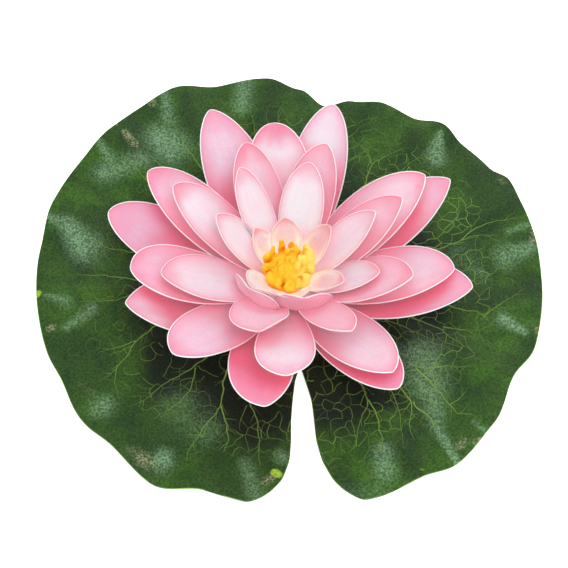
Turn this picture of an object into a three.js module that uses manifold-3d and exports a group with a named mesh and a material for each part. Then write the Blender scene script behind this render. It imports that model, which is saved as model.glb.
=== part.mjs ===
// Decorative water lily: five rosettes of moulded foam petals and a yellow stamen tuft, held by a
// peg through the middle of a waved foam lily pad. Millimetres, +Z up, the flower's axis is Z and
// the flat face that the flower stands on is z = 0.
import * as THREE from 'three';
import { mergeVertices } from 'three/addons/utils/BufferGeometryUtils.js';
import Module from 'manifold-3d';

const wasm = await Module();
wasm.setup();

// Driving dimensions.
const GAP = 0.3;                  // clearance between pieces that touch
const PEG = { flange: 19, thick: 2.4, shaft: 3, top: 25 };
const HOLE = PEG.shaft + GAP;     // the peg's hole in every sheet
const PAD = { centre: [0, 8], sheet: 2, hub: 3.75, rise: 2.3, spokes: 72 };
const BLADE = 1.4;                // thickness of a petal
const TAB = 3.6;                  // flat root of a petal, sunk in its rosette's disc
const NECK = 0.28;                // root width of a petal as a share of its full width
const DISC = { below: 0.95, above: 1.2 };
const TUFT = { foot: 17.5, socket: 26, seed: 7 };

// Edge of the pad at each crest and hollow of its wave: azimuth, radius, height.
const RIM = [
  [0, 140, 6], [10, 140, 9], [20, 140, 10], [27, 142, 8], [33, 138, 5], [42, 137, 7],
  [48, 137, 10], [57, 134, 4], [65, 133.5, 7], [73, 130.5, 4], [80, 127, 1.8], [87, 133, 5],
  [95, 137.5, 10], [107, 138, 9], [118, 143.5, 14], [127, 143, 11], [136, 142.5, 13],
  [148, 141.5, 9], [160, 141, 10], [172, 139.5, 6], [186, 138.5, 9], [200, 138.5, 5],
  [208, 137.5, 7], [219, 140.5, 3], [228, 140, 8], [241, 144, 2], [252, 139, 9],
  [262, 138, 4], [275, 138, 5], [290, 141, 3], [299, 142, 8], [308, 144, 2.5],
  [320, 141.5, 6], [331, 136.5, 10], [342, 140.5, 4], [352, 140, 8],
];

// The slot from the front edge towards the peg, its left side and then its right side.
const NOTCH = [
  [6, -48], [3, -57], [1.5, -69], [0.5, -81], [0.8, -93], [0.4, -105], [-3, -116],
  [-8.5, -122], [-14, -126], [-21, -129.5], [-29, -142], [52, -142], [43, -129],
  [36, -126], [29, -122], [23, -116], [17.5, -105], [14.5, -93], [13.5, -81],
  [12.3, -69], [9, -57],
];

// The rosettes from the outside in. A petal of a rosette has that rosette's length, width, rise
// above level, curl along it and cup across it, and its own departures from them in the list:
// azimuth, longer by, steeper by, wider by, sideways sweep, tip power, and its own curl.
const ROSETTES = [
  {
    name: 'petals_outer', tint: 0xf2a3bb, length: 100, width: 36, pitch: 24, curl: 14, cup: 34,
    reach: 8, level: 6, stations: 8,
    petals: [
      [163, 0, -3, 5, -3, 0.56], [200, -7, 0, 6, -12, 0.56], [261, 0, 1, -1, 20, 0.48],
      [306, -6, -6, -2, 0, 0.55], [348, 0, -1, 4, 4, 0.56], [27, 0, 0, 3, 3, 0.6],
      [75, 0, 2, -1, 0, 0.56], [116, 0, 3, 4, -4, 0.56],
    ],
  },
  {
    name: 'petals_second', tint: 0xf4b0c6, length: 90, width: 37, pitch: 30, curl: 14, cup: 34,
    reach: 8, level: 8.5, stations: 8,
    petals: [
      [95, -6, 4, 0, 0, 0.46], [30, 0, 0, 0, 0, 0.58], [351, 0, -4, 2, 2, 0.58],
      [307, 0, -8, -2, 0, 0.55], [269, -1, 2, -3, 0, 0.44], [229, 2, -3, 0, 0, 0.48],
      [192, -2, 0, 0, -4, 0.52], [149, 3, 0, 0, 0, 0.58],
    ],
  },
  {
    name: 'petals_third', tint: 0xf6bccf, length: 75, width: 31, pitch: 38, curl: 14, cup: 36,
    reach: 7.5, level: 11, stations: 7,
    petals: [
      [71, -1, 3, -1, -8, 0.56], [22, 0, 1, -1, 6, 0.58], [341, -1, -4, -1, 6, 0.58],
      [300, 0, -1, -6, 0, 0.58], [256, -7, -1, 2, 24, 0.48], [196, -1, -5, 1, -8, 0.58],
      [152, 3, -1, -1, 0, 0.58], [111, 0, 1, -4, -8, 0.58],
    ],
  },
  {
    name: 'petals_fourth', tint: 0xf8cbd9, length: 60, width: 26, pitch: 47, curl: 16, cup: 38,
    reach: 7, level: 13.5, stations: 6,
    petals: [
      [76, 2, 1, 0, 0, 0.58], [20, 1, -1, -5, 5, 0.6], [342, -7, -12, -4, 8, 0.6],
      [284, -15, 6, 3, 0, 0.55, 56], [232, -12, 2, 2, 12, 0.55, 48],
      [155, -8, 0, -8, -6, 0.6], [121, 4, 1, -6, -8, 0.6],
    ],
  },
  {
    name: 'petals_inner', tint: 0xfbdcc8, length: 30, width: 18, pitch: 52, curl: 14, cup: 40,
    reach: 6.5, level: 16, stations: 5,
    petals: [
      [94, 0, 1, 0, 0, 0.6], [36, 5, 0, -1, 0, 0.6], [333, 4, -14, -1, 0, 0.6],
      [277, 2, -6, 2, 0, 0.55], [225, 2, -5, 3, 0, 0.55], [135, 0, -2, -1, -6, 0.6],
    ],
  },
];

const rad = THREE.MathUtils.degToRad;

// A closed solid from a list of points and a list of triangles.
function solid(points, triangles) {
  return new wasm.Manifold(new wasm.Mesh({
    numProp: 3,
    vertProperties: Float32Array.from(points.flat()),
    triVerts: Uint32Array.from(triangles.flat()),
  }));
}

// A closed solid from one of three's closed shapes.
function fromGeometry(shape) {
  shape.deleteAttribute('normal');
  shape.deleteAttribute('uv');
  const merged = mergeVertices(shape, 1e-4);
  return new wasm.Manifold(new wasm.Mesh({
    numProp: 3,
    vertProperties: Float32Array.from(merged.attributes.position.array),
    triVerts: Uint32Array.from(merged.index.array),
  }));
}

// A round bar on the flower's axis between two heights.
function bar(radius, z0, z1, sides = 24) {
  const shape = new THREE.CylinderGeometry(radius, radius, z1 - z0, sides);
  shape.rotateX(Math.PI / 2);
  shape.translate(0, 0, (z0 + z1) / 2);
  return fromGeometry(shape);
}

function mesh(body, name, color, roughness) {
  const data = body.getMesh();
  const shape = new THREE.BufferGeometry();
  shape.setAttribute('position', new THREE.BufferAttribute(data.vertProperties, 3));
  shape.setIndex(new THREE.BufferAttribute(data.triVerts, 1));
  shape.computeVertexNormals();
  const node = new THREE.Mesh(shape, new THREE.MeshStandardMaterial({ color, roughness }));
  node.name = name;
  return node;
}

// A sheet between two faces of the same grid: rows of points along it, split alike on both faces.
// A last row of one point closes to a tip.
function sheet(upper, lower) {
  const points = [];
  const number = (rows) => rows.map((row) => row.map((p) => points.push(p) - 1));
  const a = number(upper);
  const b = number(lower);
  const out = [];
  for (let i = 0; i + 1 < a.length; i += 1) {
    const last = a[i].length - 1;
    for (let j = 0; j < last; j += 1) {
      if (a[i + 1].length === 1) {
        out.push([a[i][j], a[i + 1][0], a[i][j + 1]]);
        out.push([b[i][j], b[i][j + 1], b[i + 1][0]]);
      } else {
        out.push([a[i][j], a[i + 1][j], a[i + 1][j + 1]], [a[i][j], a[i + 1][j + 1], a[i][j + 1]]);
        out.push([b[i][j], b[i + 1][j + 1], b[i + 1][j]], [b[i][j], b[i][j + 1], b[i + 1][j + 1]]);
      }
    }
    const end = a[i + 1].length - 1;
    out.push([a[i][0], b[i][0], b[i + 1][0]], [a[i][0], b[i + 1][0], a[i + 1][0]]);
    out.push([a[i][last], a[i + 1][end], b[i + 1][end]], [a[i][last], b[i + 1][end], b[i][last]]);
  }
  for (let j = 0; j + 1 < a[0].length; j += 1) {
    out.push([a[0][j], a[0][j + 1], b[0][j + 1]], [a[0][j], b[0][j + 1], b[0][j]]);
  }
  return solid(points, out);
}

// Half-width of a petal at a share s of its length, as a share of its full half-width.
const BELLY = 0.8;
function outline(s, tip) {
  const at = BELLY / (BELLY + tip);
  const full = at ** BELLY * (1 - at) ** tip;
  const blade = (s ** BELLY * (1 - s) ** tip) / full;
  const neck = s < 0.5 ? NECK * Math.sqrt(1 - s) : 0;
  return Math.max(blade, neck);
}

// One petal: a cupped blade that leaves its disc at the rise of its first part and curls up.
function petal(rosette, [azimuth, longer, steeper, wider, sweep, tip, ownCurl], thick) {
  const length = rosette.length + longer;
  const half = (rosette.width + wider) / 2;
  const curl = ownCurl ?? rosette.curl;
  const cup = rad(rosette.cup);
  const az = rad(azimuth);
  const fine = 48;
  const spine = [[rosette.reach * Math.cos(az), rosette.reach * Math.sin(az), rosette.level]];
  const heading = (s) => [rad(rosette.pitch + steeper + curl * (s - 0.5)),
    az + rad(sweep) * (s - 0.5)];
  for (let i = 0; i < fine; i += 1) {
    const [rise, turn] = heading((i + 0.5) / fine);
    const [x, y, z] = spine[i];
    const step = length / fine;
    spine.push([x + step * Math.cos(rise) * Math.cos(turn),
      y + step * Math.cos(rise) * Math.sin(turn), z + step * Math.sin(rise)]);
  }
  const across = [-1, -0.4, 0.4, 1];
  const upper = [];
  const lower = [];
  const row = (centre, rise, turn, width) => {
    const side = [-Math.sin(turn), Math.cos(turn), 0];
    const up = [-Math.sin(rise) * Math.cos(turn), -Math.sin(rise) * Math.sin(turn),
      Math.cos(rise)];
    for (const [rows, offset] of [[upper, thick / 2], [lower, -thick / 2]]) {
      const places = width > 0 ? across : [0];
      rows.push(places.map((t) => {
        const u = (width * Math.sin(cup * t)) / cup - offset * Math.sin(cup * t);
        const v = (width * (1 - Math.cos(cup * t))) / cup + offset * Math.cos(cup * t);
        return centre.map((c, k) => c + u * side[k] + v * up[k]);
      }));
    }
  };
  const inner = rosette.reach - TAB;
  row([inner * Math.cos(az), inner * Math.sin(az), rosette.level], 0, az, half * NECK * 0.7);
  for (let i = 0; i < rosette.stations; i += 1) {
    const s = 1 - (1 - i / rosette.stations) ** 1.7;
    const at = s * fine;
    const low = Math.min(Math.floor(at), fine - 1);
    const centre = spine[low].map((c, k) => c + (spine[low + 1][k] - c) * (at - low));
    row(centre, ...heading(s), half * outline(s, tip));
  }
  row(spine[fine], ...heading(1), 0);
  return sheet(upper, lower);
}

const union = (list) => list.reduce((sum, one) => sum.add(one));

// The largest of the bodies that a cut leaves.
function largest(body) {
  const bodies = body.decompose();
  return bodies.reduce((best, one) => (one.volume() > best.volume() ? one : best));
}

// A rosette: its petals joined by the disc that the peg goes through.
function rosetteBody(rosette) {
  const disc = bar(rosette.reach + 0.2, rosette.level - DISC.below, rosette.level + DISC.above);
  const blades = rosette.petals.map((entry) => petal(rosette, entry, BLADE));
  return union([disc, ...blades]).subtract(bar(HOLE, 0, 60));
}

// The room that a rosette needs: its petals and disc grown by the clearance.
function rosetteRoom(rosette) {
  const disc = bar(rosette.reach + 0.2 + GAP, rosette.level - DISC.below - GAP + 0.05,
    rosette.level + DISC.above);
  const blades = rosette.petals.map((entry) => {
    const grown = [...entry];
    grown[1] += 2 * GAP;
    grown[3] += 2 * GAP;
    return petal(rosette, grown, BLADE + 2 * GAP);
  });
  return union([disc, ...blades]);
}

// Radius and height of the pad's edge at an azimuth, eased between its crests and hollows.
function rimAt(degrees) {
  const turn = ((degrees % 360) + 360) % 360;
  const next = RIM.findIndex(([at]) => at > turn);
  const [a1, r1, z1] = next < 0 ? [360, RIM[0][1], RIM[0][2]] : RIM[next];
  const [a0, r0, z0] = RIM[next < 0 ? RIM.length - 1 : next - 1];
  const t = (turn - a0) / (a1 - a0);
  const ease = t * t * (3 - 2 * t);
  return [r0 + (r1 - r0) * ease, z0 + (z1 - z0) * ease];
}

// The pad: a disc that lies flat at the hub and waves towards its edge, with its front slot.
function padBody() {
  const rings = [0.12, 0.4, 0.62, 0.79, 0.91, 1];
  const upper = [];
  const lower = [];
  const triangles = [];
  for (const share of rings) {
    for (let i = 0; i < PAD.spokes; i += 1) {
      const turn = (360 * i) / PAD.spokes;
      const [radius, edge] = rimAt(turn);
      const x = share * (PAD.centre[0] + radius * Math.cos(rad(turn)));
      const y = share * (PAD.centre[1] + radius * Math.sin(rad(turn)));
      const z = PAD.hub + (edge - PAD.hub) * share ** PAD.rise;
      upper.push([x, y, z + PAD.sheet / 2]);
      lower.push([x, y, z - PAD.sheet / 2]);
    }
  }
  const count = upper.length;
  const points = [...upper, ...lower, [0, 0, PAD.hub + PAD.sheet / 2],
    [0, 0, PAD.hub - PAD.sheet / 2]];
  for (let i = 0; i < PAD.spokes; i += 1) {
    const j = (i + 1) % PAD.spokes;
    triangles.push([2 * count, i, j], [2 * count + 1, count + j, count + i]);
    for (let k = 0; k + 1 < rings.length; k += 1) {
      const a = k * PAD.spokes + i;
      const b = k * PAD.spokes + j;
      const c = a + PAD.spokes;
      const d = b + PAD.spokes;
      triangles.push([a, c, d], [a, d, b]);
      triangles.push([count + a, count + d, count + c], [count + a, count + b, count + d]);
    }
    const a = (rings.length - 1) * PAD.spokes + i;
    const b = (rings.length - 1) * PAD.spokes + j;
    triangles.push([a, count + a, count + b], [a, count + b, b]);
  }
  const corners = NOTCH.map(([x, y]) => new THREE.Vector2(x, y));
  const slot = new THREE.ExtrudeGeometry(new THREE.Shape(corners), {
    depth: 60,
    bevelEnabled: false,
  });
  slot.translate(0, 0, -20);
  return solid(points, triangles).subtract(fromGeometry(slot)).subtract(bar(HOLE, -1, 12));
}

// The peg: a flat flange under the pad and a shaft up into the tuft.
function pegBody() {
  const flange = bar(PEG.flange, 0, PEG.thick, 48);
  return flange.add(bar(PEG.shaft, PEG.thick / 2, PEG.top));
}

// A small seeded draw between 0 and 1.
function draws(seed) {
  let state = seed;
  return () => {
    state = (state * 16807) % 2147483647;
    return state / 2147483647;
  };
}

// A finger of the tuft: a five-sided bar along a path, with a blunt end.
function finger(path, radii) {
  const sides = 5;
  const points = [];
  const triangles = [];
  path.forEach((p, i) => {
    const before = new THREE.Vector3(...path[Math.max(i - 1, 0)]);
    const after = new THREE.Vector3(...path[Math.min(i + 1, path.length - 1)]);
    const along = after.sub(before).normalize();
    const u = new THREE.Vector3(along.z, 0, -along.x).normalize();
    const v = new THREE.Vector3().crossVectors(along, u);
    for (let j = 0; j < sides; j += 1) {
      const a = (2 * Math.PI * j) / sides;
      const ring = u.clone().multiplyScalar(radii[i] * Math.cos(a));
      ring.addScaledVector(v, radii[i] * Math.sin(a));
      points.push([p[0] + ring.x, p[1] + ring.y, p[2] + ring.z]);
    }
  });
  for (let i = 0; i + 1 < path.length; i += 1) {
    for (let j = 0; j < sides; j += 1) {
      const a = i * sides + j;
      const b = i * sides + ((j + 1) % sides);
      triangles.push([a, b, b + sides], [a, b + sides, a + sides]);
    }
  }
  const end = (path.length - 1) * sides;
  for (let j = 1; j + 1 < sides; j += 1) {
    triangles.push([0, j + 1, j], [end, end + j, end + j + 1]);
  }
  return solid(points, triangles);
}

// The tuft: a low cup of foam with fingers that stand round it and lean over its hollow.
function tuftBody() {
  const profile = [[0, TUFT.foot], [5.5, TUFT.foot], [9, 20], [12, 25], [12.6, 31], [11, 36],
    [7.5, 37], [4, 34], [0, 33]];
  const cup = new THREE.LatheGeometry(profile.map(([r, z]) => new THREE.Vector2(r, z)), 20);
  cup.rotateX(Math.PI / 2);
  const draw = draws(TUFT.seed);
  const rows = [
    { count: 11, low: 10.5, wide: 13.2, high: 10.6, top: 45, radius: 2 },
    { count: 6, low: 7, wide: 8.6, high: 6.6, top: 45.5, radius: 1.9 },
    { count: 3, low: 3, wide: 3.4, high: 2.6, top: 41, radius: 1.8 },
  ];
  const fingers = [];
  rows.forEach((row, n) => {
    for (let i = 0; i < row.count; i += 1) {
      const turn = (2 * Math.PI * (i + 0.5 * n + 0.3 * draw())) / row.count;
      const lean = 0.16 * (draw() - 0.5);
      const top = row.top - 5 * draw();
      const at = (radius, swing, z) => [radius * Math.cos(turn + swing),
        radius * Math.sin(turn + swing), z];
      const foot = n === 0 ? 22 : 31;
      const path = [at(row.low, 0, foot), at(row.wide, lean, foot + 0.55 * (top - foot)),
        at(row.high + 0.8, 1.6 * lean, top - 1.2), at(row.high - 0.6, 2 * lean, top)];
      fingers.push(finger(path, [row.radius, row.radius, 0.9 * row.radius, 0.45 * row.radius]));
    }
  });
  return union([fromGeometry(cup), ...fingers]).subtract(bar(HOLE, 0, TUFT.socket));
}

const group = new THREE.Group();
group.name = 'water_lily';
group.add(mesh(pegBody(), 'fixing_peg', 0x3d5a34, 0.55));
group.add(mesh(padBody(), 'lily_pad', 0x2c6327, 0.5));
const rooms = ROSETTES.map(rosetteRoom);
ROSETTES.forEach((rosette, i) => {
  const clear = rooms.slice(i + 1).reduce((body, room) => body.subtract(room),
    rosetteBody(rosette));
  group.add(mesh(largest(clear), rosette.name, rosette.tint, 0.6));
});
const tuft = rooms.reduce((body, room) => body.subtract(room), tuftBody());
group.add(mesh(largest(tuft), 'stamen_tuft', 0xfbc21c, 0.65));
group.updateMatrixWorld(true);

export default group;
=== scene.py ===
"""Looks of a decorative water lily: five rosettes of dyed foam petals round a yellow stamen tuft,
on a waved and printed foam lily pad. Metres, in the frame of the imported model: +Z up, the flower's
axis is Z and the flat face that it stands on is z = 0."""
import math
import random
from types import SimpleNamespace

import bmesh
import bpy
import numpy as np
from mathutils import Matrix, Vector, noise
from mathutils.bvhtree import BVHTree
from mathutils.geometry import delaunay_2d_cdt


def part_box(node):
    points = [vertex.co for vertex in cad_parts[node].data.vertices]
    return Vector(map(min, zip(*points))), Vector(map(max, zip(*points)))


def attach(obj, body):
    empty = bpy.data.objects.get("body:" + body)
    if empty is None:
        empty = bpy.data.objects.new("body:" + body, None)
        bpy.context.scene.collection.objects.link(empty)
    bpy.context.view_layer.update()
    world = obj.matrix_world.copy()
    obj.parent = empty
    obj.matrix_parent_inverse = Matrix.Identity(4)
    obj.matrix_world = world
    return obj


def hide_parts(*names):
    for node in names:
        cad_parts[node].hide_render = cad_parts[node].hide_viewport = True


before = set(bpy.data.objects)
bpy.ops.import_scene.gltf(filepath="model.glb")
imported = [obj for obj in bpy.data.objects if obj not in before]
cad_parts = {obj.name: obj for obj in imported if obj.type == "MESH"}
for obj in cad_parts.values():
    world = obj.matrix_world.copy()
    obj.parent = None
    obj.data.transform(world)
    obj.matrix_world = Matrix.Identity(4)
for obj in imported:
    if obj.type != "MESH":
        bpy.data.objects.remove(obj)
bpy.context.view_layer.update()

bl_info = {
    "name": "Foam water lily",
    "version": (1, 0, 0),
    "blender": (4, 5, 0),
    "location": "3D View > Sidebar > Water lily",
    "description": "Builds a foam water lily on its lily pad around the packed model",
    "category": "Add Mesh",
}

MM = 0.001

# The rosettes from the outside in, as they are cut, bent and dyed. A petal has its rosette's length,
# width, rise and curl, and its own departures from them: azimuth, longer by, steeper by, wider by,
# sideways sweep, tip power, depth of dye, flush of its tip, and the curl of one that folds up
# sharply. Millimetres and degrees. Its pitch is the rise, its reach is the radius at which petals
# start, and its root is the share of their width that they keep there. Of the dyes, root_end is how
# far up the root's colour runs, border is the strength of the border's colour, deep is the strength
# of the painted shade, in the rose colour, in places that other petals shelter, the glow entry is
# the strength of a faint glow painted in those sheltered places in place of light let in by the
# foam, and border_width and edge_width are in millimetres. The cut edge is undyed foam with cut_dye
# of the tip's colour.
ROSETTES = (
    {
        "name": "outer", "length": 100, "width": 36, "pitch": 24, "curl": 14, "cup": 34, "reach": 8,
        "root": 0.28, "cut_dye": 0,
        "dyes": {
            "pale": (0.9, 0.85, 0.89), "pink": (0.86, 0.44, 0.6), "tip": (0.84, 0.33, 0.47),
            "root": (0.86, 0.21, 0.34), "root_end": 0.5, "border": 0.65, "deep": 0.9,
            "edge_width": 0.45,
        },
        "petals": (
            (164.2, 0, -3, 4, -12, 0.56, 0.85, 0.8), (200.7, -7.5, 0, 9, -30, 0.72, 0.15, 0.8),
            (263.6, 0.5, 1, 1, 34, 0.45, 1.4, 0.8), (305.6, -6, -6, -1.5, 0, 0.55, 1.15, 0.6),
            (346.5, 0, -1, 5, 10, 0.63, 0.75, 0.7), (27, 0, 0, 3, 3, 0.72, 0.45, 0.8),
            (75, 0, 2, -2, 0, 0.6, 0.08, 0.3), (116, 2, 3, 2.5, -4, 0.66, 0.55, 0.8),
        ),
    },
    {
        "name": "second", "length": 90, "width": 37, "pitch": 30, "curl": 14, "cup": 34, "reach": 8,
        "root": 0.28, "cut_dye": 0.05,
        "dyes": {
            "pale": (0.9, 0.85, 0.89), "pink": (0.86, 0.43, 0.58), "tip": (0.82, 0.29, 0.43),
            "root": (0.88, 0.31, 0.43), "root_end": 0.4, "border": 0.6, "deep": 0.38,
            "edge_width": 0.42,
        },
        "petals": (
            (96.8, -6, 4, 0, 10, 0.48, 0.05, 1.1), (30, 0, 0, 1, -4, 0.67, 0.3, 0.8),
            (351, 0, -4, 1, 2, 0.58, 0.42, 0.7), (306.3, -0.5, -8, -3, 0, 0.55, 0.4, 0.6),
            (269, -1, 2, -3.6, 4, 0.31, 0.3, 0.6), (228.8, 1.5, -3, -1.5, 0, 0.48, 0.65, 0.8),
            (191.8, -1.5, 0, 1.5, -4, 0.45, 0.75, 0.8), (149.5, 2.5, 0, -2, 0, 0.58, 0.6, 0.9),
        ),
    },
    {
        "name": "third", "length": 75, "width": 31, "pitch": 38, "curl": 14, "cup": 36, "reach": 7.5,
        "root": 0.28, "cut_dye": 0.2,
        "dyes": {
            "pale": (0.89, 0.84, 0.89), "pink": (0.84, 0.45, 0.56), "tip": (0.8, 0.29, 0.39),
            "root": (0.86, 0.45, 0.52), "root_end": 0.35, "border": 0.6, "deep": 0.4,
            "edge_width": 0.2,
        },
        "petals": (
            (70.5, -1, 3, -1, -13, 0.6, 0.6, 0.4), (22, 0, 1, -1, 6, 0.67, 0.55, 0.8),
            (342, -1, -4, 1, 6, 0.58, 0.8, 0.8), (300, -3, -1, -8.8, 0, 0.52, 0.95, 0.5),
            (254.5, -13.5, -1, 2, 48, 0.36, 0.8, 0.5), (196, -1, -5, 1, -8, 0.58, 0.4, 0.8),
            (152, 3, -1, -1, 0, 0.58, 0.15, 0.9), (110.5, 0, 1, -3, -8, 0.58, 0.5, 1),
        ),
    },
    {
        "name": "fourth", "length": 60, "width": 26, "pitch": 47, "curl": 16, "cup": 38, "reach": 7,
        "root": 0.28, "cut_dye": 0.1,
        "dyes": {
            "pale": (0.89, 0.84, 0.89), "pink": (0.81, 0.48, 0.6), "tip": (0.78, 0.37, 0.46),
            "root": (0.96, 0.78, 0.76), "root_end": 0.3, "border": 0.5, "deep": 0.25,
            "border_width": 6, "edge_width": 0.15,
        },
        "petals": (
            (76, 2, 1, 0, 0, 0.58, 0, 0.8), (19, 1, -1, -2.5, 5, 0.7, 0.4, 0.8),
            (344.5, -7, -12, -4, 8, 0.6, 0.45, 0.8), (294, -22.5, 5.5, 8.5, -46, 0.42, 0.6, 0.4, 62),
            (222, -22, 5, 7, 16, 0.42, 0.35, 0.4, 64), (155, -8, 0, -5, -6, 0.6, 0.3, 0.8),
            (121, 4, 1, -6, -8, 0.6, 0.2, 0.8),
        ),
    },
    {
        "name": "inner", "length": 30, "width": 18, "pitch": 52, "curl": 14, "cup": 40, "reach": 6.5,
        "root": 0.75, "cut_dye": 0.45,
        "dyes": {
            "pale": (0.89, 0.85, 0.89), "pink": (0.81, 0.45, 0.5), "tip": (0.76, 0.29, 0.33),
            "root": (1.0, 0.95, 0.9), "root_end": 0.4, "border": 0.9, "deep": 0.15,
            "rose": (1.0, 0.8, 0.6), "through": 0.24, "border_width": 2.5, "edge_width": 0.15,
        },
        "petals": (
            (94, 0, 1, 1, 0, 0.6, 0.4, 1.1), (36, 5, 0, -1, 0, 0.6, 0.75, 0.9),
            (333, 4, -14, -1, 0, 0.6, 0.7, 0.9), (277, -3, -6, 5, 0, 0.45, 0.15, 0.6),
            (225, 1, -5, 6, 4, 0.5, 0.15, 0.5), (135, 0, -2, -2, -6, 0.7, 0.4, 1),
        ),
    },
)
DISC_BELOW = 0.95       # underside of a rosette's disc below its level, mm
DISC_ABOVE = 1.2        # top of that disc above its level
DISC_SPARE = 0.2        # the disc reaches this much past the petals' roots
TAB = 3.6               # flat root of a petal, sunk in its disc
PEG_HOLE = 3.3          # radius of the peg's hole in every sheet

# The pad's edge at each crest and hollow of its wave: azimuth, radius, height.
RIM = (
    (0, 140, 6), (10, 140, 9), (20, 140, 10), (27, 142, 8), (33, 138, 5), (42, 135.5, 7),
    (48, 137, 10), (57, 134, 4), (65, 133.5, 7), (73, 130.5, 4), (80, 124.5, 1.8), (87, 133, 5),
    (95, 137.5, 10), (107, 138, 9), (118, 143.5, 14), (127, 143, 11), (136, 141.5, 13),
    (148, 141.5, 9), (160, 141, 10), (172, 139.3, 6), (186, 138.2, 9), (200, 138.4, 5),
    (208, 137.5, 7), (219, 140.5, 3), (228, 140, 8), (241, 144, 2), (252, 139, 9), (262, 138, 4),
    (275, 138, 5), (290, 141, 3), (299, 142, 8), (308, 144, 2.5), (320, 141.5, 6), (331, 136.5, 10),
    (342, 140.5, 4), (352, 140, 8),
)
PAD_CENTRE = (0, 8)
PAD_HUB = 3.75          # height of the middle of the sheet at the peg
PAD_SHEET = 2           # thickness of the pad's foam sheet
PAD_RISE = 2.3          # how late the sheet lifts on its way to the edge

# The slot from the front edge towards the peg, its left side and then its right side.
NOTCH = (
    (6.4, -48), (3.8, -57), (2.5, -69), (1.6, -81), (1.6, -93), (0.8, -105), (-3, -116), (-8.5, -122),
    (-14, -126), (-21, -129.5), (-29, -142), (52, -142), (43, -129), (36, -126), (29, -122),
    (23, -116), (17.5, -105), (14.5, -93), (13.5, -81), (12.3, -69), (9, -57),
)

# Pressed folds of the pad: azimuth, height, half-width in degrees, share of the way out where it
# is highest, and how far it runs to each side of that place.
FOLDS = (
    (10, 1.1, 4, 0.85, 0.25), (50, 1.2, 4, 0.8, 0.3), (99, 1.4, 4, 0.8, 0.3),
    (124, 1.4, 4, 0.78, 0.3), (140, 1.6, 4.5, 0.8, 0.3), (164, 1.5, 4, 0.82, 0.3),
    (186, 1.2, 4, 0.9, 0.2), (217, 1.2, 4, 0.88, 0.2), (238, 1.2, 5, 0.85, 0.2),
    (296, 1.2, 5, 0.8, 0.25), (310, 1.1, 4, 0.85, 0.2), (331, 1.2, 4, 0.8, 0.3),
    (348, 1.3, 4, 0.82, 0.3),
)

# Marks on the pad, each a soft stroke: x, y and radius of both ends in millimetres, strength.
# The painted sheen is pale and lies on crests, the painted shade in the valleys is dark, scuffs
# are tan, spots are yellow.
MARKS = {
    "painted_sheen": (
        (-136, 46, 2, -124, 41, 4, 0.5), (-124, 41, 4, -113, 27, 8, 0.8),
        (-109, 97, 1.5, -101, 85, 3, 0.6), (-104, 77, 6, -84, 85, 5, 0.5),
        (-72, 131, 2.5, -69, 112, 4, 0.5), (-73, 101, 8, -67, 95, 9, 0.75),
        (-25, 144, 4, -27, 125, 5, 0.55), (-132, -7, 1.5, -121, -10, 3, 0.4),
        (-120, -25, 2, -107, -14, 3, 0.45), (-99, -74, 5, -97, -73, 5, 0.6),
        (-65, -105, 5, -64, -103, 4, 0.75), (-56, -73, 10, -44, -86, 9, 0.22),
        (-22, -107, 3, -17, -124, 4, 0.4), (-4, -102, 3, -3, -104, 3, 0.4),
        (88, 104, 1.5, 85, 89, 5, 0.75), (95, 22, 6, 99, 17, 7, 0.15), (105, 11, 5, 107, 9, 4, 0.2),
        (121, 20, 6, 135, 25, 3, 0.6), (123, 36, 1.5, 134, 40, 1.5, 0.5),
        (117, -20, 3, 128, -28, 1.5, 0.75), (71, -44, 9, 75, -62, 8, 0.65),
        (75, -62, 8, 78, -86, 3, 0.5), (78, -86, 2.5, 88, -106, 1.5, 0.7),
        (49, -100, 4, 50, -112, 5, 0.6), (98, -83, 1.2, 104, -90, 1, 0.5),
        (44, -124, 6, 30, -126, 5, 0.2), (126, 100, 3, 112, 92, 5, 0.25),
    ),
    "valley_shade": (
        (-128, 34, 3, -112, 12, 5, 0.8), (-96, 100, 3, -90, 88, 5, 0.6),
        (-60, 130, 4, -56, 106, 7, 0.8), (-86, 108, 4, -80, 92, 4, 0.5),
        (-10, 140, 6, -8, 118, 6, 0.6), (-42, 134, 6, -44, 118, 5, 0.4), (108, -8, 6, 134, 0, 5, 0.7),
        (112, 40, 6, 130, 52, 5, 0.5), (74, 106, 5, 70, 92, 6, 0.6), (100, 70, 7, 118, 84, 5, 0.35),
        (62, -92, 6, 66, -112, 5, 0.8), (92, -60, 7, 108, -70, 5, 0.4),
        (-36, -100, 5, -34, -122, 5, 0.15), (-84, -84, 6, -78, -92, 5, 0.4),
        (-118, -42, 4, -104, -34, 6, 0.4), (50, 124, 5, 40, 110, 6, 0.5),
        (28, -108, 5, 32, -122, 4, 0.5), (118, -52, 6, 126, -58, 4, 0.4),
    ),
    "scuff": (
        (-94, 103, 2, -88, 95, 3, 0.8), (-79, 127, 2, -79, 123, 3, 0.7),
        (76, 115, 3, 79, 113, 3, 0.3), (138, 36, 2.5, 137, 30, 2.5, 0.8),
        (134, -26, 2, 136, -28, 2, 0.7), (121, 73, 3, 122, 71, 3, 0.6), (90, -96, 3, 92, -93, 3, 0.8),
        (107, -79, 2.5, 109, -78, 2, 0.8), (98, -95, 2, 100, -93, 2, 1),
        (45, -122, 3, 48, -121, 3, 0.6), (-110, -61, 3.5, -103, -67, 3.5, 0.6),
        (-82, -99, 4, -72, -106, 4, 0.7), (-12, -117, 3.5, -9, -115, 2.5, 0.9),
        (-129, -26, 2, -127, -25, 2, 0.9),
    ),
    "spot": (
        (-7, -112, 2.2, -5, -113, 2, 1), (-137, -7, 1.5, -136, -5, 1.5, 0.9),
        (68, -112, 1.6, 70, -112, 1.6, 0.45), (-87, 144, 2, -85, 142, 1.5, 0.5),
        (-101, 110, 1.5, -99, 108, 1.5, 0.5),
    ),
}

# -------------------- settings

COLOUR = {"subtype": "COLOR", "size": 3, "min": 0, "max": 1}


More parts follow.
